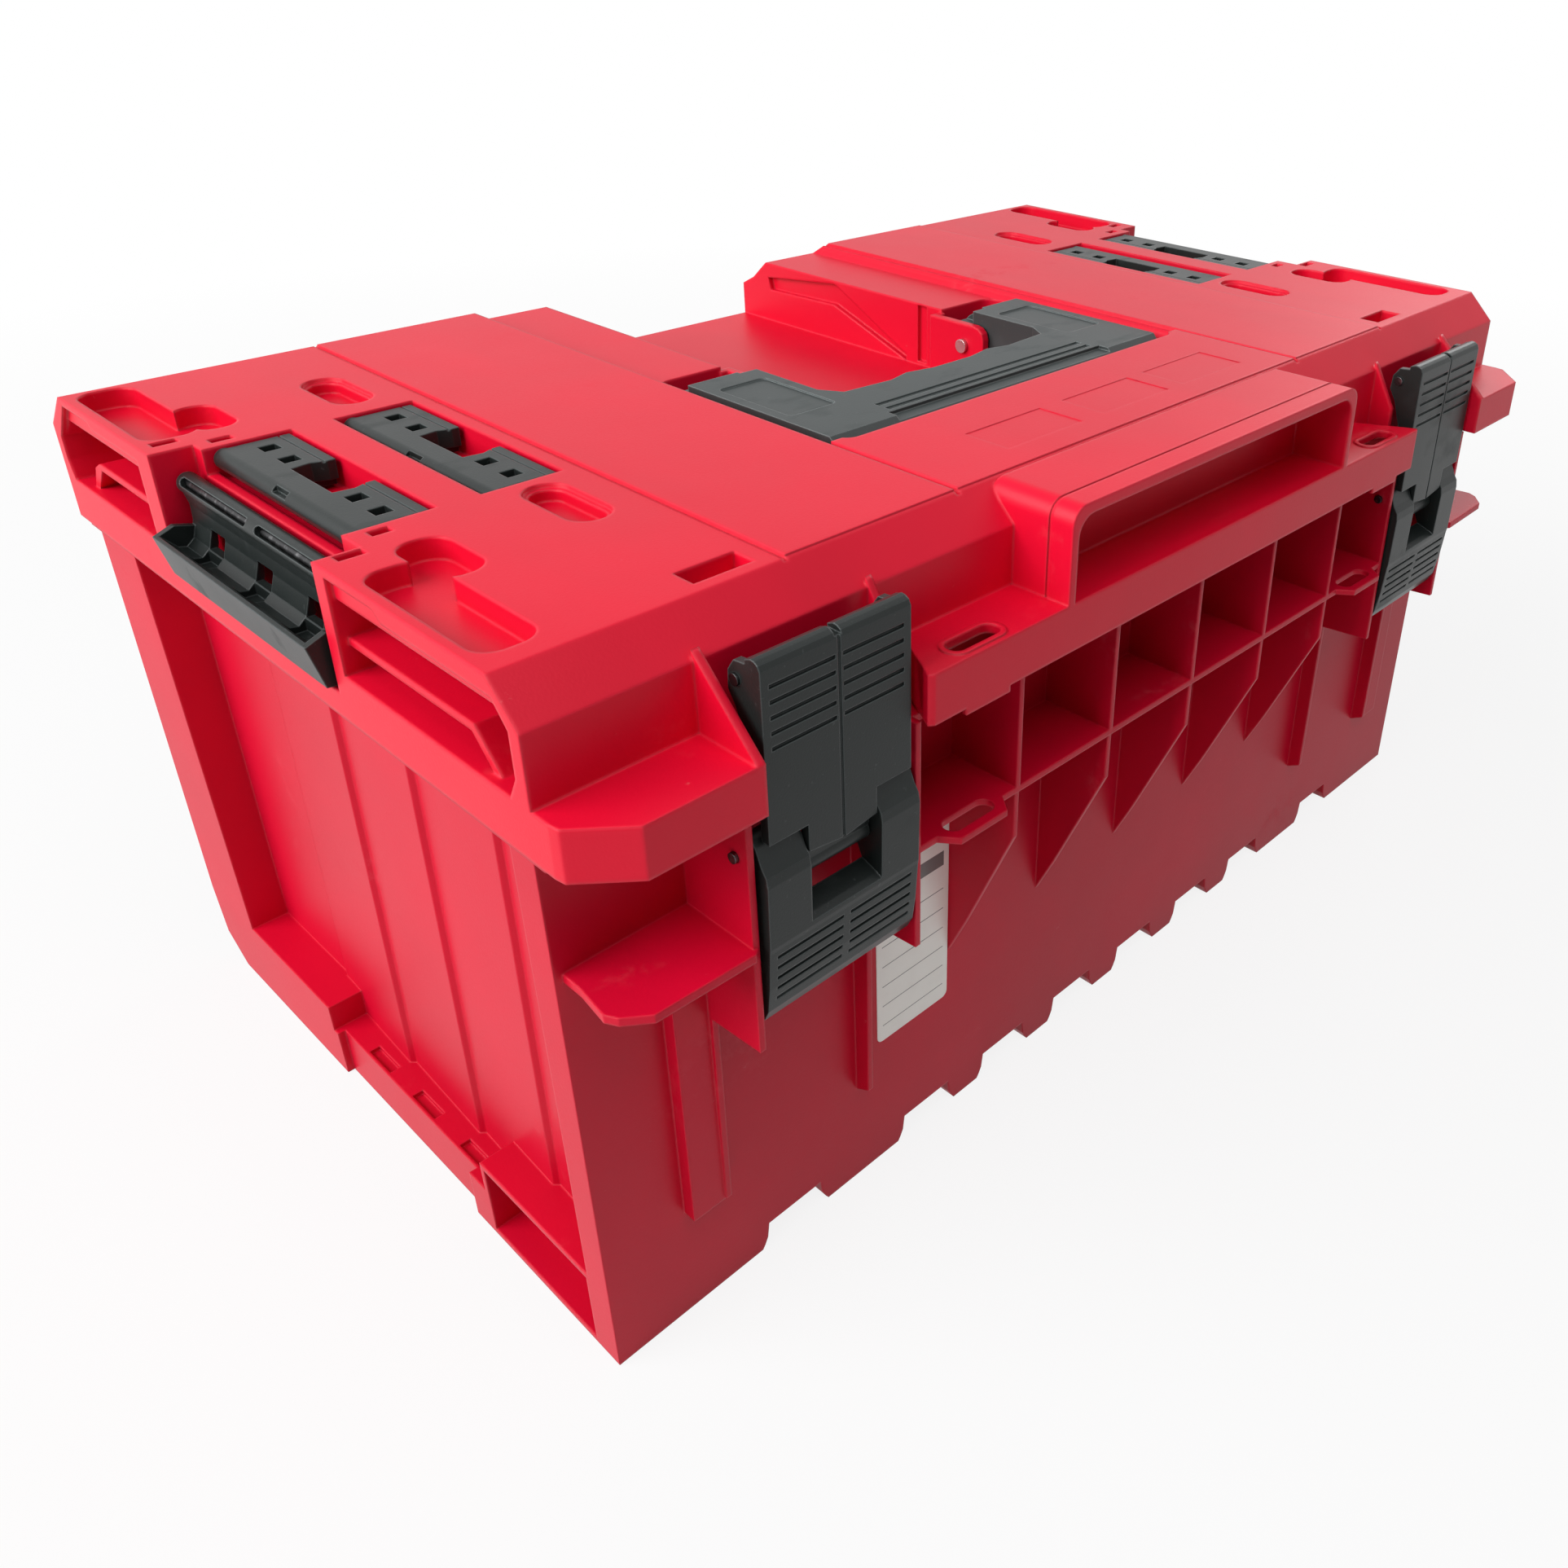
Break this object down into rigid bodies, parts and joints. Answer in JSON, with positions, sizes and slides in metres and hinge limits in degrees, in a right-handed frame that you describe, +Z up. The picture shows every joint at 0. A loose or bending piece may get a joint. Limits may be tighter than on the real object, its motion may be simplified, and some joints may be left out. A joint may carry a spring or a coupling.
{
  "type": "tool case",
  "caption": "Large moulded stacking tool case with a hinged lid, folding carry handle, front latches, side clips, stacking flaps and a ribbed front.",
  "frame": {"origin": "on the ground, at the middle of the footprint", "axes": "+X along the case's length, +Y towards the hinges, +Z up; the latches and the pull face -Y"},
  "size_m": [0.5976, 0.3835, 0.2917],
  "materials": {
    "tub_plastic": "satin moulded red polypropylene, a little darker in the recesses",
    "lid_plastic": "satin moulded red polypropylene with a fine grain",
    "fitting": "satin dark green-grey moulded plastic",
    "steel": "plain drawn steel rod",
    "seal": "matt black rubber cord"
  },
  "bodies": {
    "tub": {"base_tub": "tub_plastic", "hinge_rods": "steel", "lever_pins": "steel"},
    "lid": {"lid_shell": "lid_plastic", "lid_seal": "seal", "handle_pins": "steel", "clip_rods": "steel"},
    "handle": {"carry_handle": "fitting"},
    "lever_left": {"latch_lever_left": "fitting", "claw_pin_left": "steel"},
    "claw_left": {"latch_claw_left": "fitting", "hook_rod_left": "steel"},
    "clip_left": {"side_clip_left": "fitting"},
    "outer_flap_left": {"flap_outer_left": "fitting"},
    "inner_flap_left": {"flap_inner_left": "fitting"},
    "lever_right": {"latch_lever_right": "fitting", "claw_pin_right": "steel"},
    "claw_right": {"latch_claw_right": "fitting", "hook_rod_right": "steel"},
    "clip_right": {"side_clip_right": "fitting"},
    "outer_flap_right": {"flap_outer_right": "fitting"},
    "inner_flap_right": {"flap_inner_right": "fitting"}
  },
  "joints": [
    {"name": "lid_hinge", "type": "hinge", "parent": "tub", "child": "lid", "pos_m": [0, 0.18575, 0.236], "axis": [-1, 0, 0], "range_deg": [0, 105]},
    {"name": "handle_swing", "type": "hinge", "parent": "lid", "child": "handle", "pos_m": [0, 0.00875, 0.273], "axis": [-1, 0, 0], "range_deg": [0, 90]},
    {"name": "latch_lever_left", "type": "hinge", "parent": "tub", "child": "lever_left", "pos_m": [-0.2, -0.17875, 0.2165], "axis": [-1, 0, 0], "range_deg": [0, 100]},
    {"name": "latch_claw_left", "type": "hinge", "parent": "lever_left", "child": "claw_left", "pos_m": [-0.2, -0.17875, 0.2015], "axis": [-1, 0, 0], "range_deg": [-100, 0]},
    {"name": "side_clip_left", "type": "hinge", "parent": "lid", "child": "clip_left", "pos_m": [-0.2825, 0.00925, 0.279], "axis": [0, 1, 0], "range_deg": [0, 140]},
    {"name": "flap_outer_left", "type": "hinge", "parent": "lid", "child": "outer_flap_left", "pos_m": [-0.27, 0.01175, 0.2862], "axis": [0, -1, 0], "range_deg": [0, 90]},
    {"name": "flap_inner_left", "type": "hinge", "parent": "lid", "child": "inner_flap_left", "pos_m": [-0.222, 0.01175, 0.2862], "axis": [0, -1, 0], "range_deg": [0, 90]},
    {"name": "latch_lever_right", "type": "hinge", "parent": "tub", "child": "lever_right", "pos_m": [0.2, -0.17875, 0.2165], "axis": [-1, 0, 0], "range_deg": [0, 100]},
    {"name": "latch_claw_right", "type": "hinge", "parent": "lever_right", "child": "claw_right", "pos_m": [0.2, -0.17875, 0.2015], "axis": [-1, 0, 0], "range_deg": [-100, 0]},
    {"name": "side_clip_right", "type": "hinge", "parent": "lid", "child": "clip_right", "pos_m": [0.2825, 0.00925, 0.279], "axis": [0, -1, 0], "range_deg": [0, 140]},
    {"name": "flap_outer_right", "type": "hinge", "parent": "lid", "child": "outer_flap_right", "pos_m": [0.27, 0.01175, 0.2862], "axis": [0, 1, 0], "range_deg": [0, 90]},
    {"name": "flap_inner_right", "type": "hinge", "parent": "lid", "child": "inner_flap_right", "pos_m": [0.222, 0.01175, 0.2862], "axis": [0, 1, 0], "range_deg": [0, 90]}
  ],
  "couplings": [
    {"joint": "latch_claw_left", "follows": "latch_lever_left", "ratio": -1},
    {"joint": "latch_claw_right", "follows": "latch_lever_right", "ratio": -1}
  ]
}
